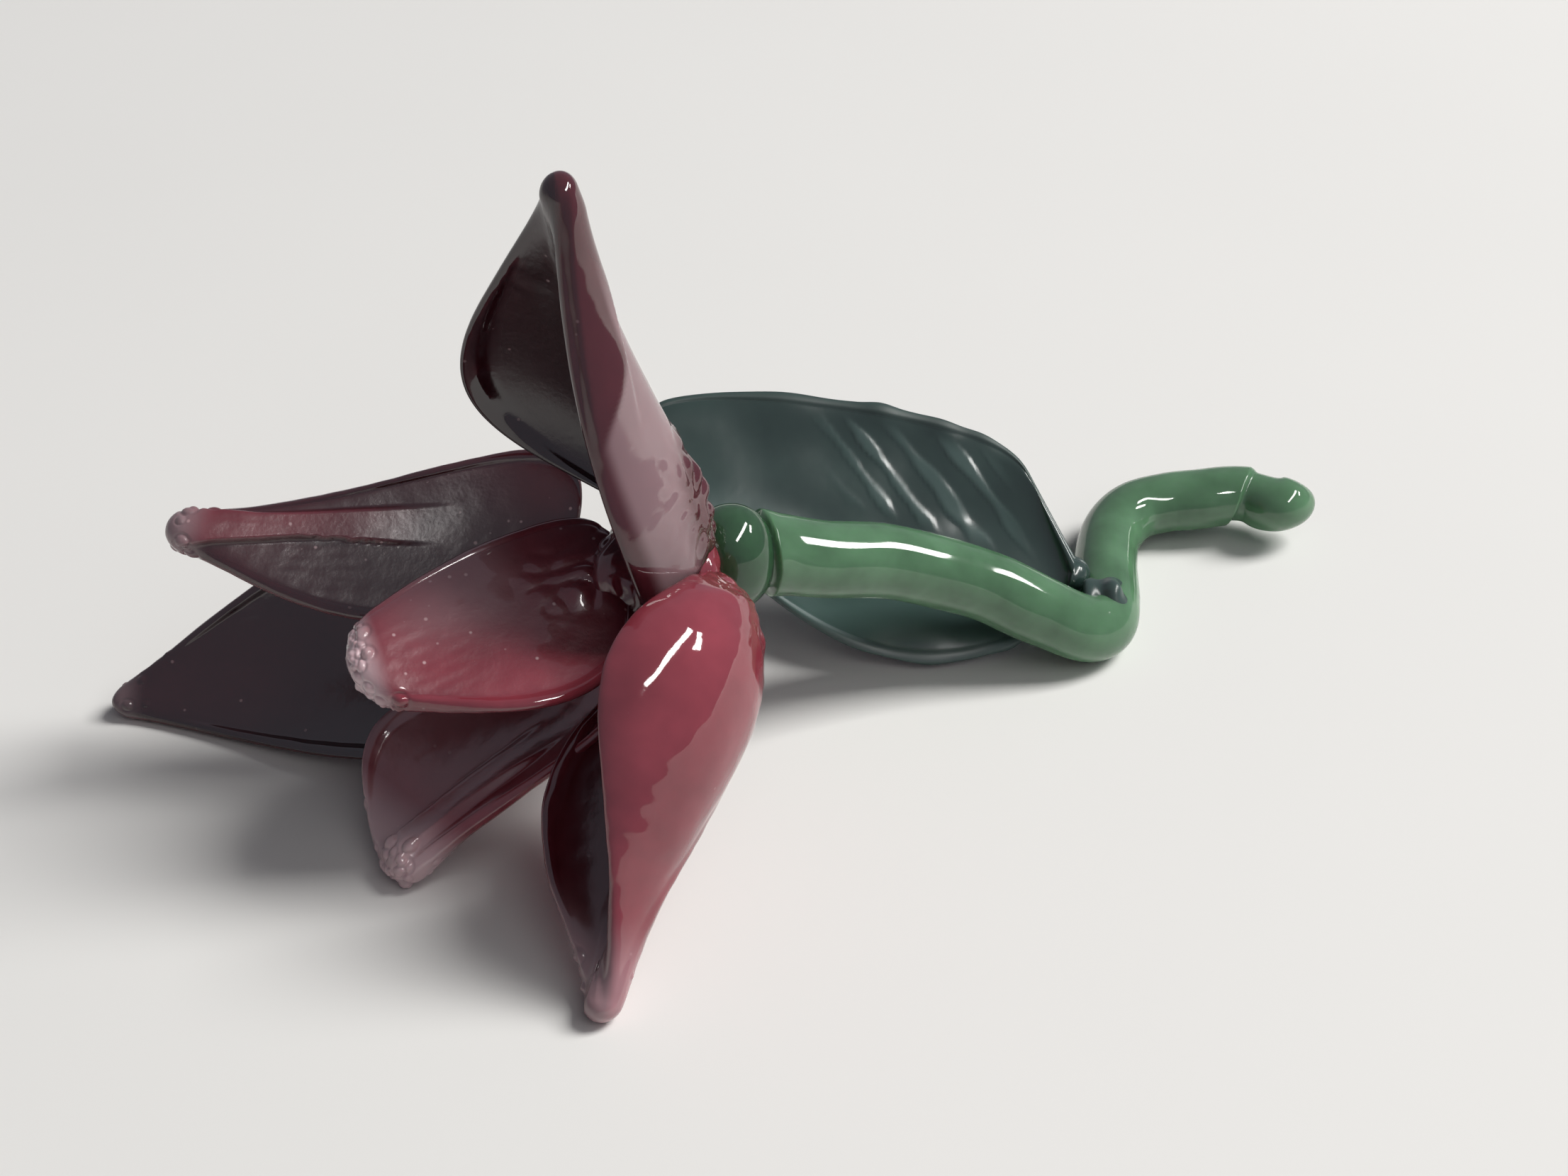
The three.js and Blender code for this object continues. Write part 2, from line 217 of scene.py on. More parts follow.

# Each petal has the place and outline of its solid. Lengths are in millimetres and angles in degrees. A pair
# is for the inside and the outside of the cup, but for the milky tip it is the tip's strength and length.
# - seat is in half sizes of the heart, and neck, fullest and lead are in lengths of the petal.
# - wrap is how far the cup's section goes round to each side, and knob is the radius of the tip.
# - the shade tone is painted shade: it goes from dark, for faces that lie in shade, to the full red, and a
#   raised rib inside is painted lighter by it. rib is the rib's height and rib_way its way to the rim, and
#   cushion is the height of a raised middle.
# - wave, chill and crinkle are strengths of unevenness, frost is how dull the tool left the inside, bloom is
#   painted light, partly a milky frost: milk colour laid on faces that lie in shade, and on petal_top's
#       outside
#   a painted reflection of the board. blisters is the number of bubbles at the tip.
PETALS = [
    {
        "name": "petal_top",
        "seat": (0.554, -0.143, 0.65), "heading": -5.2, "pitch": 107.7, "roll": 18.5,
        "length": 40.7, "width": 20.6, "depth": 11.7, "skew": 0.21, "slant": 2.4, "sag": 2.9, "curl": -2,
        "neck": 0, "fullest": 0.264, "lead": 0.11, "taper": 1.14, "knob": 1.8, "wrap": 82,
        "painted_shade_tone": (0.1, 0.3), "rib": (0.0, 0.5), "rib_width": 1.7, "rib_way": -0.8, "cushion": 0,
        "wave": 0.25, "chill": 0.35, "crinkle": 0.4, "frost": 0.7, "fire_polished": False,
        "milk_and_painted_light": (0.0, 1), "bloom_and_painted_light": (0, 0.27), "blisters": 0,
    },
    {
        "name": "petal_back",
        "seat": (-0.477, 0.915, -0.224), "heading": 181.6, "pitch": 5.6, "roll": -37.4,
        "length": 43.7, "width": 17.9, "depth": 1.8, "skew": -0.16, "slant": 2.5, "sag": 1.3, "curl": 0.5,
        "neck": 0.1, "fullest": 0.286, "lead": 0.12, "taper": 1.13, "knob": 2.1, "wrap": 40,
        "painted_shade_tone": (0.2, 0.6), "rib": (0.7, 0.3), "rib_width": 2.3, "rib_way": -0.4, "cushion": 0,
        "wave": 1, "chill": 0.3, "crinkle": 0.1, "frost": 0.9, "fire_polished": False,
        "milk_and_painted_light": (0.35, 5), "bloom_and_painted_light": (0, 0), "blisters": 12,
    },
    {
        "name": "petal_far_left",
        "seat": (-0.203, 0.878, -0.87), "heading": 173.7, "pitch": -22.2, "roll": -42.8,
        "length": 58.6, "width": 25.3, "depth": 5.5, "skew": 0.01, "slant": 2.2, "sag": 4.1, "curl": 6.1,
        "neck": 0.14, "fullest": 0.303, "lead": -0.05, "taper": 0.9, "knob": 1.6, "wrap": 40,
        "painted_shade_tone": (0.1, 0.5), "rib": (0.0, 0.4), "rib_width": 1.8, "rib_way": 0.0, "cushion": 0,
        "wave": 0.6, "chill": 0.2, "crinkle": 0.1, "frost": 0.4, "fire_polished": False,
        "milk_and_painted_light": (0.15, 4), "bloom_and_painted_light": (0, 0), "blisters": 8,
    },
    {
        "name": "petal_centre",
        "seat": (-0.444, -0.023, 0.289), "heading": 209.2, "pitch": -3.7, "roll": -26.3,
        "length": 28.2, "width": 18.4, "depth": 1.6, "skew": 0.26, "slant": 1.9, "sag": 1.3, "curl": 0,
        "neck": 0, "fullest": 0.296, "lead": -0.01, "taper": 0.65, "knob": 4.1, "wrap": 40,
        "painted_shade_tone": (1.0, 0.8), "rib": (0.0, 0.3), "rib_width": 3.0, "rib_way": 0.0, "cushion": 1.2,
        "wave": 1, "chill": 0.3, "crinkle": 0.45, "frost": 1, "fire_polished": True,
        "milk_and_painted_light": (0.9, 3.6), "bloom_and_painted_light": (0.25, 0), "blisters": 36,
    },
    {
        "name": "petal_near_left",
        "seat": (-0.465, -0.611, -0.761), "heading": 215.5, "pitch": -34.5, "roll": 8.4,
        "length": 33.8, "width": 18.5, "depth": 4.1, "skew": -0.32, "slant": -1.4, "sag": 5.6, "curl": 0,
        "neck": 0.1, "fullest": 0.326, "lead": -0.25, "taper": 0.76, "knob": 2.4, "wrap": 40,
        "painted_shade_tone": (1.0, 0.8), "rib": (0.9, 0.2), "rib_width": 2.3, "rib_way": 0.0, "cushion": 0,
        "wave": 0.7, "chill": 0.2, "crinkle": 0.1, "frost": 0.4, "fire_polished": False,
        "milk_and_painted_light": (0.75, 9), "bloom_and_painted_light": (0.2, 0), "blisters": 24,
    },
    {
        "name": "petal_near",
        "seat": (0.947, -0.886, 0.455), "heading": -106.7, "pitch": -34.8, "roll": 45.4,
        "length": 43.8, "width": 17.7, "depth": 14.2, "skew": 0.22, "slant": 4.4, "sag": 7.9, "curl": 0.4,
        "neck": 0, "fullest": 0.376, "lead": -0.14, "taper": 1.33, "knob": 1.8, "wrap": 108,
        "painted_shade_tone": (0.5, 1.0), "rib": (0.2, 0.3), "rib_width": 1.8, "rib_way": 0.0, "cushion": 0,
        "wave": 1.3, "chill": 0.2, "crinkle": 0.2, "frost": 0.6, "fire_polished": False,
        "milk_and_painted_light": (0.35, 11), "bloom_and_painted_light": (0, 0), "blisters": 16,
    },
]

heart_low, heart_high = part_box("heart")
heart_centre = (Vector(heart_low) + Vector(heart_high)) / 2


def smooth_step(start, end, value):
    """0 before start, 1 after end, and an easy curve between them. Start may be above end."""
    share = np.clip((value - start) / (end - start), 0, 1)
    return share * share * (3 - 2 * share)


def hump(distance, width):
    """A round hump, 1 at no distance and nearly 0 beyond twice its width."""
    return np.exp(-(distance / width) ** 2)


def quarter_round(distance, radius):
    """Height of a quarter round, as a share of its radius, at a distance from its end."""
    inside = 1 - np.clip(distance / radius, 0, 1)
    return np.sqrt(1 - inside ** 2)


def read_places(piece):
    """The places of a piece's points, one row each."""
    places = np.empty(3 * len(piece.data.vertices))
    piece.data.vertices.foreach_get("co", places)
    return places.reshape(-1, 3)


def write_places(piece, places):
    """Moves a piece's points. None goes below the table."""
    places[:, 2] = np.maximum(places[:, 2], 0)
    piece.data.vertices.foreach_set("co", places.ravel())
    piece.data.update()


def swell(piece, height):
    """Raises each point of a piece along its normal by its height in millimetres."""
    normals = np.empty(3 * len(piece.data.vertices))
    piece.data.vertex_normals.foreach_get("vector", normals)
    write_places(piece, read_places(piece) + normals.reshape(-1, 3) * height[:, None] * MM)


def ripples(places, size, seed):
    """Waves in random directions at each place, mostly from -1 to 1. Places and size are in millimetres."""
    dice = np.random.default_rng(seed)
    ways = dice.normal(size=(3, RIPPLE_COUNT))
    ways *= 2 * math.pi / size / np.linalg.norm(ways, axis=0)
    return np.sin(places @ ways + dice.uniform(0, 2 * math.pi, RIPPLE_COUNT)).sum(axis=1) / RIPPLE_EASE


def paint(piece, name, value):
    """Keeps a value for all points of a piece, or one for each, for its material to read."""
    values = np.full(len(piece.data.vertices), value, np.float32)
    piece.data.attributes.new(name, "FLOAT", "POINT").data.foreach_set("value", values)


def gather(name, columns, rows):
    """A round gather of glass to be shaped: the piece, and each point's share along it and turn round it."""
    bpy.ops.object.select_all(action="DESELECT")
    bpy.ops.mesh.primitive_uv_sphere_add(segments=columns, ring_count=rows, radius=1)
    bpy.ops.object.shade_smooth()
    piece = bpy.context.object
    piece.name = name
    piece.data.name = name
    places = read_places(piece)
    return piece, (1 + places[:, 2]) / 2, np.arctan2(places[:, 1], places[:, 0])


def spread_at(beyond_neck, widest, taper):
    """How far a blade is spread, from 0 to 1, at a share beyond its neck, when it is widest at another."""
    return np.maximum(0, np.sin(math.pi * beyond_neck ** (math.log(0.5) / np.log(widest)))) ** taper


def press_blade(blade, thickness, root):
    """A petal or leaf pressed from a gather, with its neck at root: the piece, and its points' ways on it."""
    piece, along, turn = gather(blade["name"] + "_glass", BLADE_COLUMNS, BLADE_ROWS)
    length, width, knob = blade["length"], blade["width"], blade["knob"]
    across = np.cos(turn)
    side = np.sign(across)
    beyond_neck = np.maximum(0, along - blade["neck"]) / (1 - blade["neck"])
    middle = spread_at(beyond_neck, blade["fullest"], blade["taper"])
    spread = spread_at(beyond_neck, blade["fullest"] + blade["lead"] * side, blade["taper"])
    rod = NECK_RADIUS + (knob - NECK_RADIUS) * along
    ends = np.minimum(quarter_round(along * length, NECK_RADIUS), quarter_round((1 - along) * length, knob))
    half_width = np.hypot(rod * ends, width / 2 * spread)
    half_thickness = ends * (rod + (thickness / 2 - rod) * np.sqrt(middle))
    fullness = 2 + (RIM_FULLNESS - 2) * smooth_step(0, 0.5, middle)
    profile = np.sign(np.sin(turn)) * np.maximum(0, 1 - np.abs(across) ** fullness) ** (1 / fullness)
    share = across * (1 + blade["skew"] * spread * side)
    wrap = np.radians(NECK_WRAP + (blade["wrap"] - NECK_WRAP) * smooth_step(0, 0.6, spread))
    breadth = half_width / np.sin(wrap)
    rise = blade["depth"] * spread / (1 - np.cos(wrap))
    lean = np.arctan2(rise * np.sin(wrap * share), breadth * np.cos(wrap * share))
    bow = blade["curl"] * along ** 4 - blade["sag"] * middle * (1 - along)
    offset = half_thickness * profile
    places = np.stack([
        along * length + blade["slant"] * spread * share,
        breadth * np.sin(wrap * share) - offset * np.sin(lean),
        bow + rise * (1 - np.cos(wrap * share)) + offset * np.cos(lean),
    ], axis=1)
    angles = (math.radians(blade["roll"]), math.radians(-blade["pitch"]), math.radians(blade["heading"]))
    turned = places @ np.array(Euler(angles, "XYZ").to_matrix()).T
    write_places(piece, turned * MM + np.array(root))
    return piece, {
        "along": along,
        "length": along * length,
        "across": half_width * share,
        "share": across,
        "half_width": half_width,
        "middle": middle,
        "inside": smooth_step(0, 0.4, profile),
        "outside": smooth_step(0, -0.4, profile),
    }


def seat_on_heart(seat):
    """A petal's root from its shares of the heart's half sizes."""
    root = Vector([share * half * MM for share, half in zip(seat, HEART_HALF_SIZES)])
    root.rotate(Euler((0, 0, math.radians(HEART_HEADING))))
    return heart_centre + root


def blister(piece, where, count, seed):
    """Height of a scatter of small bubbles under the skin, each a dome in a fine groove, over some points."""
    dice = np.random.default_rng(seed)
    places = read_places(piece) / MM
    chosen = dice.choice(np.flatnonzero(where), count, replace=False)
    height = np.zeros(len(places))
    for point, radius in zip(chosen, dice.uniform(*BLISTER_RADII, count)):
        distance = np.linalg.norm(places - places[point], axis=1)
        groove = BLISTER_GROOVE * hump(distance - 1.5 * radius, 0.3 * radius)
        height += BLISTER_HEIGHT * radius * (hump(distance, radius) - groove)
    return height


def fuse(piece, node, glass):
    """Gives a finished piece its glass and puts it in the place of its solid."""
    piece.data.materials.append(glass)
    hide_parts(node)
    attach(piece, "root")


def clouded(tree, place, size, detail, colours):
    """The colour of glass whose clouds, of a size, go from a deep colour to a pale one."""
    cloud = add_node(tree, "ShaderNodeTexNoise", {"Vector": place, "Scale": 1 / size, "Detail": detail})
    body = add_node(tree, "ShaderNodeValToRGB", {"Fac": cloud.outputs["Fac"]})
    for stop, position, colour in zip(body.color_ramp.elements, CLOUD_STOPS, colours):
        stop.position = position
        stop.color = linear(colour)
    return body.outputs["Color"]


def red_glass(name, ior, wet):
    """Flameworked soda glass, dense and dark red: a wet gloss, faint clouds of colour and a few fine seeds.
    On frosted faces the seeds are many and bright, which are painted glints. The ends that were held in the
    flame are milky, and the pressed faces have the tool's orange peel. Faces that lie in shade are painted
    darker toward the shaded colour, which is painted shade, and the milk colour is also laid on some faces as
    painted light."""
    material, tree, place = new_material(name)
    milk_and_painted_light = add_node(tree, "ShaderNodeAttribute", attribute_name="milk_and_painted_light").outputs["Fac"]
    frost = add_node(tree, "ShaderNodeAttribute", attribute_name="frost").outputs["Fac"]
    painted_shade_tone = add_node(tree, "ShaderNodeAttribute", attribute_name="painted_shade_tone").outputs["Fac"]
    body = clouded(tree, place, RED_CLOUD_SIZE, 5.0, RED_COLOURS)
    # Painted shade: the shade tone mixes faces that lie in shade toward the dark shaded colour.
    painted_shade_toned = add_node(tree, "ShaderNodeMix", {
        "Factor": painted_shade_tone, "A": linear(SHADED_COLOUR), "B": body,
    }, data_type="RGBA")
    # The milk attribute holds the milky tips and also the bloom, which is painted light and painted
    # reflection.
    milky_and_painted_light = add_node(tree, "ShaderNodeMix", {
        "Factor": milk_and_painted_light, "A": painted_shade_toned.outputs["Result"], "B": linear(MILK_AND_PAINTED_LIGHT_COLOUR),
    }, data_type="RGBA")
    seeds = add_node(tree, "ShaderNodeTexVoronoi", {"Vector": place, "Scale": 1 / SEED_SPACING})
    seed_and_glint_light = add_node(tree, "ShaderNodeMapRange", {
        "Value": frost, "From Min": 0.5, "To Min": 0.2, "To Max": 0.75,
    })
    seed_shape = add_node(tree, "ShaderNodeMapRange", {
        "Value": seeds.outputs["Distance"],
        "From Min": 0.07,
        "From Max": 0.15,
        "To Min": seed_and_glint_light.outputs["Result"],
        "To Max": 0.0,
    })
    some = add_node(tree, "ShaderNodeSeparateColor", {"Color": seeds.outputs["Color"]})
    rarity = add_node(tree, "ShaderNodeMapRange", {
        "Value": frost, "From Min": 0.5, "To Min": 0.94, "To Max": 0.45,
    })
    few = add_node(tree, "ShaderNodeMath", {
        0: some.outputs["Red"], 1: rarity.outputs["Result"],
    }, operation="GREATER_THAN")
    # On the frosted faces the seeds are many and bright: painted glints in the peel's sparkle.
    seeds_and_painted_glints = add_node(tree, "ShaderNodeMath", {
        0: seed_shape.outputs["Result"], 1: few.outputs["Value"],
    }, operation="MULTIPLY")
    colour = add_node(tree, "ShaderNodeMix", {
        "Factor": seeds_and_painted_glints.outputs["Value"], "A": milky_and_painted_light.outputs["Result"], "B": linear(SEED_AND_PAINTED_GLINT_COLOUR),
    }, data_type="RGBA")
    peel = add_node(tree, "ShaderNodeTexNoise", {"Vector": place, "Scale": 1 / PEEL_SIZE, "Detail": 3.0})
    peel_strength = add_node(tree, "ShaderNodeMapRange", {"Value": frost, "To Min": 0.03, "To Max": 0.3})
    bump = add_node(tree, "ShaderNodeBump", {
        "Height": peel.outputs["Fac"], "Strength": peel_strength.outputs["Result"], "Distance": PEEL_DEPTH,
    })
    gloss = add_node(tree, "ShaderNodeMapRange", {"Value": frost, "To Min": 0.05, "To Max": 0.38})
    glass = add_node(tree, "ShaderNodeBsdfPrincipled", {
        "Base Color": colour.outputs["Result"],
        "Roughness": gloss.outputs["Result"],
        "IOR": ior,
        "Coat Weight": wet,
        "Coat Roughness": 0.03,
        "Normal": bump.outputs["Normal"],
        "Subsurface Weight": 0.1,
        "Subsurface Radius": (1.0, 0.25, 0.25),
        "Subsurface Scale": 1.0 * MM,
    })
    add_node(tree, "ShaderNodeOutputMaterial", {"Surface": glass.outputs["BSDF"]})
    return material


dark_red = red_glass("dark red soda glass", ior=1.72, wet=0.0)
frosted_red = red_glass("frosted dark red soda glass, fire polished", ior=1.45, wet=0.9)
for number, blade in enumerate(PETALS):
    petal, ways = press_blade(blade, PETAL_THICKNESS, seat_on_heart(blade["seat"]))
    along = ways["along"]
    across = ways["across"]
    inside = ways["inside"]
    outside = ways["outside"]
    rim = np.abs(ways["share"])

    rib_inside, rib_outside = blade["rib"]
    rib_line = blade["rib_way"] * (ways["half_width"] - blade["rib_width"])
    rib = smooth_step(blade["rib_width"], 0.7 * blade["rib_width"], np.abs(across - rib_line))
    rib *= smooth_step(0.35, 0.6, along) * smooth_step(1.0, 0.9, along)
    ribbed = rib * (rib_inside * inside + rib_outside * outside)
    within_lip = smooth_step(0.95, 0.86, rim) * inside * smooth_step(0.15, 0.6, ways["middle"])
    cushion = blade["cushion"] * (1 - rim ** 2) * inside * ways["middle"]
    swell(petal, ribbed - LIP_DEPTH * within_lip + cushion)

    places = read_places(petal) / MM
    drawn = np.stack([ways["length"] / CHILL_MARK_STRETCH, across, 4 * inside], axis=1)
    chilled = inside * smooth_step(0.5, 0.65, along) * smooth_step(0.95, 0.85, along)
    chilled *= smooth_step(-0.2, 0.6, ripples(places, CHILL_PATCH_SIZE, number + 20))
    chill = blade["chill"] * chilled * ripples(drawn, CHILL_MARK_SIZE, number + 30)
    root = smooth_step(0.42, 0.12, along) * hump(across, CRINKLE_SPREAD)
    crinkle = blade["crinkle"] * root * (0.4 + np.abs(ripples(places, CRINKLE_SIZE, number + 50)))
    wave = WAVE_HEIGHT * ripples(places, WAVE_SIZE, number)
    wave += DIMPLE_HEIGHT * ripples(places, DIMPLE_SIZE, number + 10)
    swell(petal, blade["wave"] * wave + CHILL_MARK_HEIGHT * chill + crinkle)
    swell(petal, blister(petal, (along > 0.87) & (along < 0.99), blade["blisters"], number + 40))

    # The milky tips are the glass's own; the long ones of petal_near_left and petal_near also lighten them as
    # painted light.
    milk_strength, milk_length = blade["milk_and_painted_light"]
    milk_and_painted_light = milk_strength * smooth_step(milk_length, 0.3 * milk_length, blade["length"] - ways["length"])
    # Bloom is painted light: on petal_top's outside a painted reflection of the board, and inside
    # petal_centre and petal_near_left it lightens faces in shade; on petal_centre it is partly a milky frost.
    bloom_and_painted_light_inside, bloom_and_painted_light_outside = blade["bloom_and_painted_light"]
    bloom_and_painted_light_edge = 0.92 - 0.5 * smooth_step(0.45, 0.6, along)
    bloom_and_painted_light = bloom_and_painted_light_outside * outside * smooth_step(bloom_and_painted_light_edge, bloom_and_painted_light_edge - 0.12, rim)
    bloom_and_painted_light *= smooth_step(0.85, 0.6, along) * smooth_step(0.5, 0.1, root)
    middle_band = smooth_step(0.3, 0.5, along) * smooth_step(0.95, 0.6, along)
    bloom_and_painted_light += bloom_and_painted_light_inside * inside * middle_band * smooth_step(4, -3, across)
    paint(petal, "milk_and_painted_light", np.maximum(milk_and_painted_light, bloom_and_painted_light))
    paint(petal, "frost", blade["frost"] * inside * smooth_step(0.95, 0.8, rim))
    # Painted shade: faces in shade are darkened by their share, and a raised rib inside is painted lighter.
    painted_shade_tone_inside, painted_shade_tone_outside = blade["painted_shade_tone"]
    painted_shade_tone = painted_shade_tone_inside + (painted_shade_tone_outside - painted_shade_tone_inside) * smooth_step(0.5, -0.5, inside - outside)
    paint(petal, "painted_shade_tone", np.maximum(painted_shade_tone, min(0.8, rib_inside) * rib * inside))
    fuse(petal, blade["name"], frosted_red if blade["fire_polished"] else dark_red)

# The heart is the lump of the same red glass that holds the petals. It was melted again for each of them, so
# it is crinkled, and it fills the roots between the petals.
HEART_COLUMNS = 160
HEART_ROWS = 110
HEART_SWELL = 0.5
HEART_LUMP_SIZE = 4.5
HEART_LUMP_HEIGHT = 0.4
HEART_FOLD_SIZE = 2.2
HEART_FOLD_HEIGHT = 0.15
HEART_FROST = 0.2
# The heart's shade tone is a slight painted shade.
HEART_PAINTED_SHADE_TONE = 0.9
heart, _, _ = gather("heart_glass", HEART_COLUMNS, HEART_ROWS)
lump = read_places(heart) * np.array(HEART_HALF_SIZES) * MM
turned = lump @ np.array(Euler((0, 0, math.radians(HEART_HEADING))).to_matrix()).T
write_places(heart, turned + np.array(heart_centre))
places = read_places(heart) / MM
lumps = HEART_LUMP_HEIGHT * ripples(places, HEART_LUMP_SIZE, 60)
folds = HEART_FOLD_HEIGHT * np.abs(ripples(places, HEART_FOLD_SIZE, 61))
swell(heart, HEART_SWELL + lumps + folds)
paint(heart, "milk_and_painted_light", 0)
paint(heart, "frost", HEART_FROST)
paint(heart, "painted_shade_tone", HEART_PAINTED_SHADE_TONE)
fuse(heart, "heart", dark_red)

# The calyx bead is a ball of jade green glass, wound on between the heart and the stem and pressed in until
# it stood a little taller than wide. It is cloudier than the petals, so light gets a little way into it.
BEAD_COLUMNS = 96
BEAD_ROWS = 64
BEAD_HALF_SIZES = (4.6, 4.6, 5.8)
BEAD_SHIFT = (0.8, 0, -1.0)
BEAD_SEAT = 8.43
BEAD_HEADING = 33.4
BEAD_PITCH = -4.5
BEAD_WAVE_SIZE = 6
BEAD_WAVE_HEIGHT = 0.06
BEAD_COLOURS = ("#2c4a33", "#3d6245")
GREEN_CLOUD_SIZE = 6 * MM
GREEN_PEEL_SIZE = 2.5 * MM
GREEN_PEEL_DEPTH = 0.1 * MM
toward_stem = Vector((1, 0, 0))
toward_stem.rotate(Euler((0, math.radians(-BEAD_PITCH), math.radians(BEAD_HEADING))))
bead_centre = heart_centre + toward_stem * BEAD_SEAT * MM


def green_glass(name, colours):
    """Cloudy green soda glass, from a deep colour to a pale one. Light gets some way in under its gloss."""
    material, tree, place = new_material(name)
    peel = add_node(tree, "ShaderNodeTexNoise", {
        "Vector": place, "Scale": 1 / GREEN_PEEL_SIZE, "Detail": 1.0,
    })
    bump = add_node(tree, "ShaderNodeBump", {
        "Height": peel.outputs["Fac"], "Strength": 0.06, "Distance": GREEN_PEEL_DEPTH,
    })
    glass = add_node(tree, "ShaderNodeBsdfPrincipled", {
        "Base Color": clouded(tree, place, GREEN_CLOUD_SIZE, 3.0, colours),
        "Roughness": 0.05,
        "IOR": 1.6,
        "Normal": bump.outputs["Normal"],
        "Subsurface Weight": 0.6,
        "Subsurface Radius": (0.5, 1.0, 0.5),
        "Subsurface Scale": 2.5 * MM,
    })
    add_node(tree, "ShaderNodeOutputMaterial", {"Surface": glass.outputs["BSDF"]})
    return material


bead, _, _ = gather("bead_glass", BEAD_COLUMNS, BEAD_ROWS)
ball = read_places(bead) * np.array(BEAD_HALF_SIZES) + np.array(BEAD_SHIFT)
write_places(bead, ball * MM + np.array(bead_centre))
swell(bead, BEAD_WAVE_HEIGHT * ripples(ball, BEAD_WAVE_SIZE, 70))
fuse(bead, "bead", green_glass("deep jade green soda glass", BEAD_COLOURS))

# The stem is a jade green glass rod, bent twice in the flame and laid on the table. Its first end was upset
# to a flared mouth round the bead, and its last end was cut through hot, which left a step and a drop.
STEM_COLUMNS = 96
STEM_ROWS = 520
STEM_RADIUS = 4.1
STEM_END_RADIUS = 3.3
STEM_REACH = 41.7
STEM_SWAY = 10.2
STEM_DROP = 19.1
STEM_FOOT = 24
STEM_TAIL = 26.2
STEM_TAIL_LIFT = 1.3
STEM_SLOPE_SHARES = [
    (0.06, 0.1, 0.055), (0.115, 0.19, 0.105), (0.243, 0.404, 0.226), (0.44, 0.739, 0.398),
    (0.646, 0.933, 0.618), (0.8, 0.969, 0.81), (0.915, 0.995, 0.954),
]
STEM_TAIL_SHARES = [
    (-0.03, 0.07, 0), (0.01, 0.23, 0), (0.03, 0.5, 0), (0.085, 0.75, 0), (0.2, 0.92, 0.23),
    (0.35, 0.98, 0.46), (0.5, 0.985, 0.77), (0.7, 0.99, 1), (0.85, 0.915, 1), (1, 0.95, 1),
]
ROUTE_STEPS = 40
ROUTE_REACH = 0.3
MOUTH_AT = 2.0
MOUTH_TILT = 1.2
MOUTH_STEP = 0.14
MOUTH_FLARE = 0.07
MOUTH_FLARE_WIDTH = 1.6
MOUTH_ROUND = 0.5
CUT_AT = 9.6
CUT_TILT = 1.3
CUT_TURN = 0.6
CUT_STEP = 0.16
DROP_AT = 4.5
DROP_WIDTH = 2.4
DROP_SWELL = 0.17
DROP_ROUND = 4.5
BULGE_AT = 13
BULGE_WIDTH = 3
BULGE_SWELL = 0.05
STEM_WAVE_SIZE = 9
STEM_WAVE_HEIGHT = 0.06
STEM_COLOURS = ("#4a6d50", "#628b69")
bead_place = np.array(bead_centre) / MM
slope = np.array([STEM_REACH, STEM_SWAY, -STEM_DROP])
bend = bead_place + slope
route = [bead_place + slope * share for share in STEM_SLOPE_SHARES]
route += [bend + np.array([STEM_TAIL, STEM_FOOT, STEM_TAIL_LIFT]) * share for share in STEM_TAIL_SHARES]


def smooth_route(points, shares):
    """A smooth curve through points: its places at shares of its length, its ways there, and its length."""
    points = np.array([2 * points[0] - points[1], *points, 2 * points[-1] - points[-2]])
    step = np.linspace(0, 1, ROUTE_STEPS, endpoint=False)[:, None]
    fine = []
    for a, b, c, d in zip(points, points[1:], points[2:], points[3:]):
        square = 2 * a - 5 * b + 4 * c - d
        cube = 3 * (b - c) + d - a
        fine.append(b + 0.5 * step * (c - a + step * (square + step * cube)))
    fine = np.concatenate([*fine, points[-2:-1]])
    lengths = np.concatenate([[0], np.cumsum(np.linalg.norm(np.diff(fine, axis=0), axis=1))])
    even = shares * lengths[-1]
    places = np.stack([np.interp(even, lengths, fine[:, i]) for i in range(3)], axis=1)
    ahead = np.stack([np.interp(even + ROUTE_REACH, lengths, fine[:, i]) for i in range(3)], axis=1)
    behind = np.stack([np.interp(even - ROUTE_REACH, lengths, fine[:, i]) for i in range(3)], axis=1)
    ways = ahead - behind
    return places, ways / np.linalg.norm(ways, axis=1)[:, None], lengths[-1]


stem, along, turn = gather("stem_glass", STEM_COLUMNS, STEM_ROWS)
along = np.arccos(np.clip(1 - 2 * along, -1, 1)) / math.pi
middle, way, stem_length = smooth_route(route, along)
side = np.cross(way, (0, 0, 1))
side /= np.linalg.norm(side, axis=1)[:, None]
top = np.cross(side, way)
ring = side * np.cos(turn)[:, None] + top * np.sin(turn)[:, None]
from_start = along * stem_length
from_end = (1 - along) * stem_length
from_mouth = from_start + MOUTH_TILT * np.sin(turn) - MOUTH_AT
mouth = smooth_step(-0.3, 0, from_mouth)
flare = 1 - MOUTH_STEP * (1 - mouth) + MOUTH_FLARE * mouth * hump(from_mouth, MOUTH_FLARE_WIDTH)
cut = from_end + CUT_TILT * np.sin(turn) - CUT_TURN * np.cos(turn)
drop = 1 - CUT_STEP * smooth_step(CUT_AT, CUT_AT - 0.7, cut) + DROP_SWELL * hump(cut - DROP_AT, DROP_WIDTH)
bulge = 1 + BULGE_SWELL * hump(cut - BULGE_AT, BULGE_WIDTH)
ends = quarter_round(from_start, MOUTH_ROUND) * quarter_round(from_end, DROP_ROUND)
radius = (STEM_RADIUS + (STEM_END_RADIUS - STEM_RADIUS) * along) * flare * drop * bulge * ends
write_places(stem, (middle + ring * radius[:, None]) * MM)
swell(stem, STEM_WAVE_HEIGHT * ripples(read_places(stem) / MM, STEM_WAVE_SIZE, 80))
fuse(stem, "stem", green_glass("cloudy jade green soda glass", STEM_COLOURS))

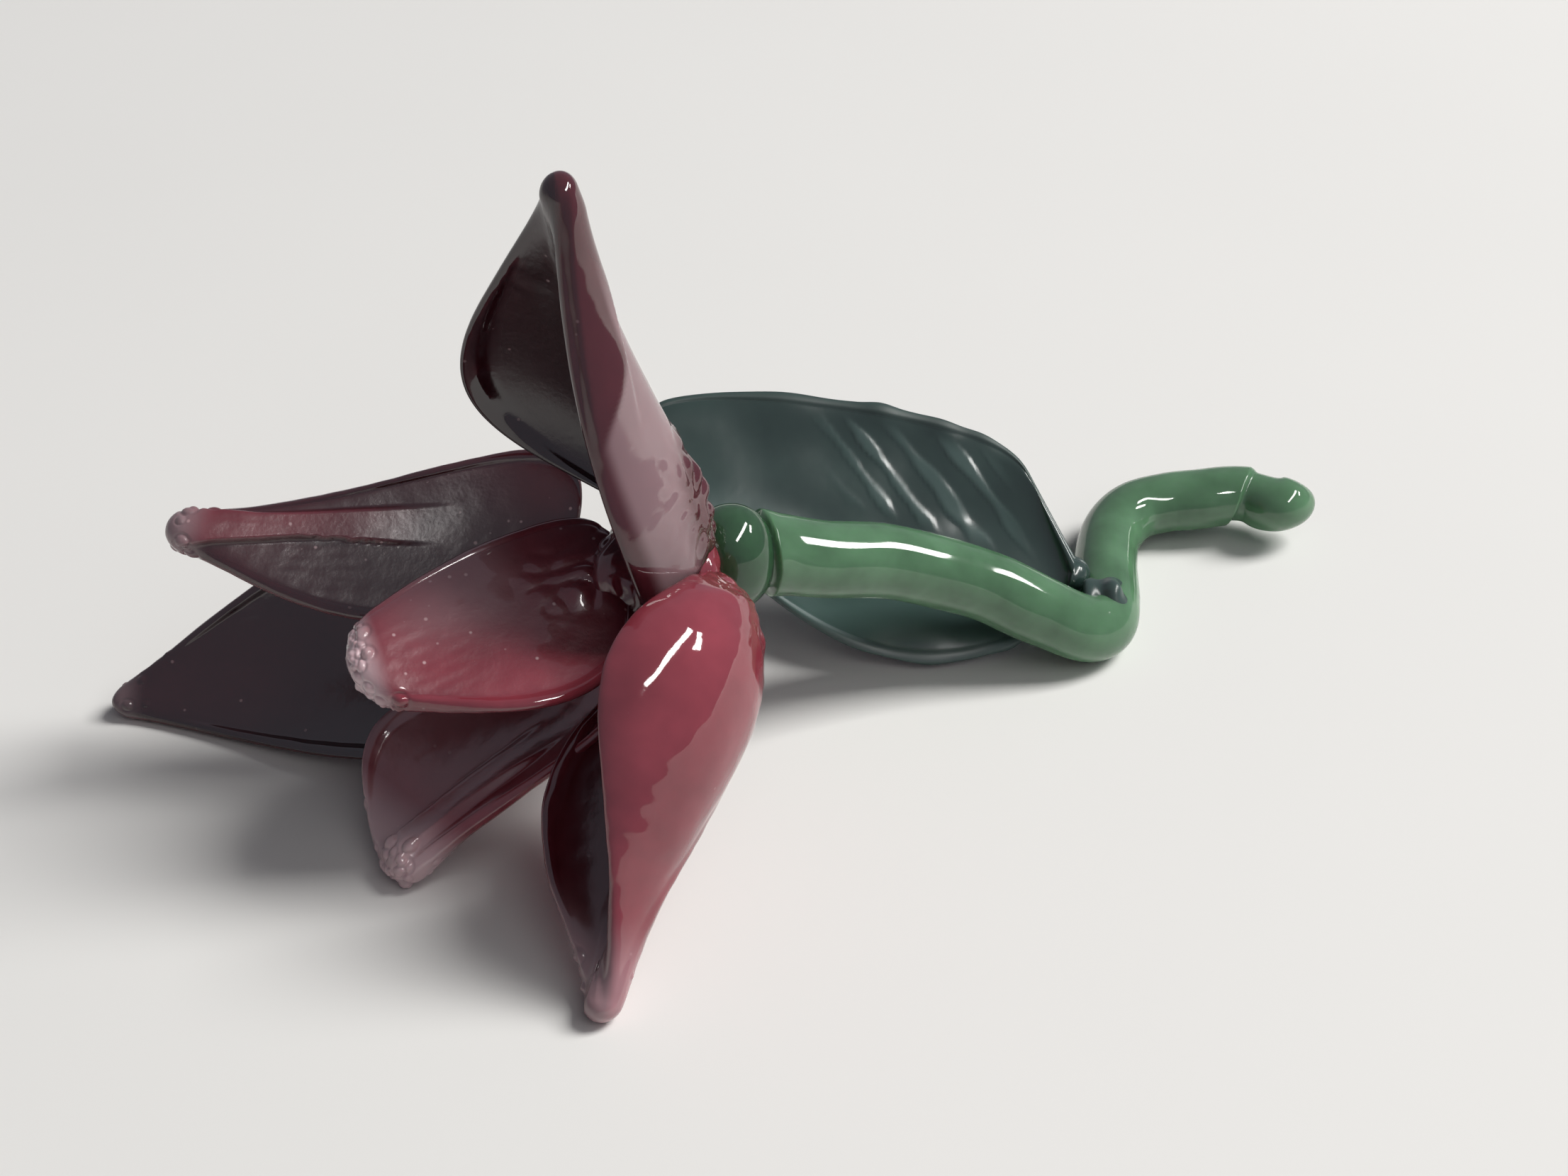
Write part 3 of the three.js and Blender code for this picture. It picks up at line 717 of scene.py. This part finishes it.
# The leaf is dark green glass, pressed with a blade that left a few slanting veins, and fused by its neck to
# the stem's first bend, so that it leans back behind the stem. Its values mean what a petal's do.
LEAF_THICKNESS = 2.4
LEAF_SEAT = Vector((-0.44, 1.46, 0.61))
LEAF = {
    "name": "leaf", "heading": 168.7, "pitch": 13.3, "roll": -46,
    "length": 50.6, "width": 27.1, "depth": 2.2, "skew": 0.13, "slant": -10.8, "sag": 1, "curl": 0.8,
    "neck": 0.05, "fullest": 0.391, "lead": 0.24, "taper": 0.42, "knob": 1.4, "wrap": 40,
}
LEAF_LIP_DEPTH = 0.15
LEAF_WAVE_SIZE = 8
LEAF_WAVE_HEIGHT = 0.12
VEIN_SPACING = 4.6
VEIN_HEIGHT = 0.09
VEIN_PAINTED_REFLECTION = 0.55
LOW_HALF_PAINTED_LIGHT = 0.5
NICK_AT = 19
NICK_WIDTH = 2.4
NICK_HEIGHT = 0.4
EDGE_BEAD_SIZE = 4
EDGE_BEAD_HEIGHT = 0.08
LEAF_COLOURS = ("#293c38", "#364b46")
LEAF_PAINTED_LIGHT_COLOUR = "#5c7470"
LEAF_CLOUD_SIZE = 8 * MM
LEAF_PEEL_SIZE = 1.5 * MM
LEAF_PEEL_DEPTH = 0.1 * MM


def leaf_glass():
    """Dark bottle green soda glass, satiny from the hot plate and duller on its rim. Its veins and lower half
    are
    painted paler: painted reflection and painted light.
    """
    material, tree, place = new_material("dark green soda glass")
    pale = add_node(tree, "ShaderNodeAttribute", attribute_name="pale").outputs["Fac"]
    dull = add_node(tree, "ShaderNodeAttribute", attribute_name="dull").outputs["Fac"]
    body = clouded(tree, place, LEAF_CLOUD_SIZE, 3.0, LEAF_COLOURS)
    # The pale attribute mixes in the paler colour: painted light and painted reflection.
    painted_light_veined = add_node(tree, "ShaderNodeMix", {
        "Factor": pale, "A": body, "B": linear(LEAF_PAINTED_LIGHT_COLOUR),
    }, data_type="RGBA")
    peel = add_node(tree, "ShaderNodeTexNoise", {"Vector": place, "Scale": 1 / LEAF_PEEL_SIZE, "Detail": 2.0})
    bump = add_node(tree, "ShaderNodeBump", {
        "Height": peel.outputs["Fac"], "Strength": 0.15, "Distance": LEAF_PEEL_DEPTH,
    })
    gloss = add_node(tree, "ShaderNodeMapRange", {"Value": dull, "To Min": 0.2, "To Max": 0.5})
    glass = add_node(tree, "ShaderNodeBsdfPrincipled", {
        "Base Color": painted_light_veined.outputs["Result"],
        "Roughness": gloss.outputs["Result"],
        "IOR": 1.7,
        "Normal": bump.outputs["Normal"],
        "Subsurface Weight": 0.1,
        "Subsurface Radius": (0.4, 1.0, 0.5),
        "Subsurface Scale": 1.5 * MM,
    })
    add_node(tree, "ShaderNodeOutputMaterial", {"Surface": glass.outputs["BSDF"]})
    return material


leaf_root = Vector(bend * MM) + LEAF_SEAT * STEM_RADIUS * MM
leaf, ways = press_blade(LEAF, LEAF_THICKNESS, leaf_root)
along = ways["along"]
across = ways["across"]
rim = np.abs(ways["share"])
places = read_places(leaf) / MM
slanted = 0.85 * ways["length"] + 0.53 * across + 0.15 * ripples(places, 7, 90)
stroke = np.sin(2 * math.pi * slanted / VEIN_SPACING + 1.1 * np.sin(slanted / 2.9))
stroke += 0.35 * ripples(places, 5, 91)
vein = smooth_step(0.15, 0.75, stroke) * smooth_step(0.9, 0.7, rim) * smooth_step(0.6, 0.46, along)
vein *= smooth_step(0.5, -1.5, across) * smooth_step(0.1, 0.2, along)
within_lip = smooth_step(0.96, 0.9, rim) * ways["inside"]
wave = ripples(places, LEAF_WAVE_SIZE, 92)
nick = hump(ways["length"] - NICK_AT, NICK_WIDTH) * smooth_step(0.7, 1.0, -ways["share"])
edge_beads = smooth_step(0.8, 0.97, rim) * smooth_step(0.5, 0.3, along) * ripples(places, EDGE_BEAD_SIZE, 93)
pressed = VEIN_HEIGHT * vein - LEAF_LIP_DEPTH * within_lip + LEAF_WAVE_HEIGHT * wave
swell(leaf, pressed + NICK_HEIGHT * nick + EDGE_BEAD_HEIGHT * edge_beads)
# Painted light: the lower half is painted paler, and the veins paler still, a painted reflection of the room.
painted_light_low_half = LOW_HALF_PAINTED_LIGHT * smooth_step(1, 7, across)
paint(leaf, "pale", np.maximum(painted_light_low_half, VEIN_PAINTED_REFLECTION * vein))
paint(leaf, "dull", smooth_step(0.88, 0.97, rim))
bottle_green = leaf_glass()
fuse(leaf, "leaf", bottle_green)

# The weld is the lump where the leaf's neck was melted on to the stem. It is the leaf's glass, in soft folds,
# which are painted paler on their tops: a painted highlight.
WELD_COLUMNS = 72
WELD_ROWS = 48
WELD_HALF_SIZES = (2.7, 2.2, 2.0)
WELD_SHIFT = (1.0, -2.8, 0.0)
WELD_FOLD_SIZE = 2.4
WELD_FOLD_HEIGHT = 0.35
WELD_PAINTED_HIGHLIGHT = 0.15
WELD_DULLNESS = 0.3
weld, _, _ = gather("weld_glass", WELD_COLUMNS, WELD_ROWS)
lump = read_places(weld) * np.array(WELD_HALF_SIZES) + np.array(WELD_SHIFT)
write_places(weld, lump * MM + np.array(leaf_root))
folds = ripples(lump, WELD_FOLD_SIZE, 95)
swell(weld, WELD_FOLD_HEIGHT * folds)
# Painted highlight: the tops of the folds are painted paler.
paint(weld, "pale", WELD_PAINTED_HIGHLIGHT * smooth_step(0, 1, folds))
paint(weld, "dull", WELD_DULLNESS)
weld.data.materials.append(bottle_green)
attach(weld, "root")
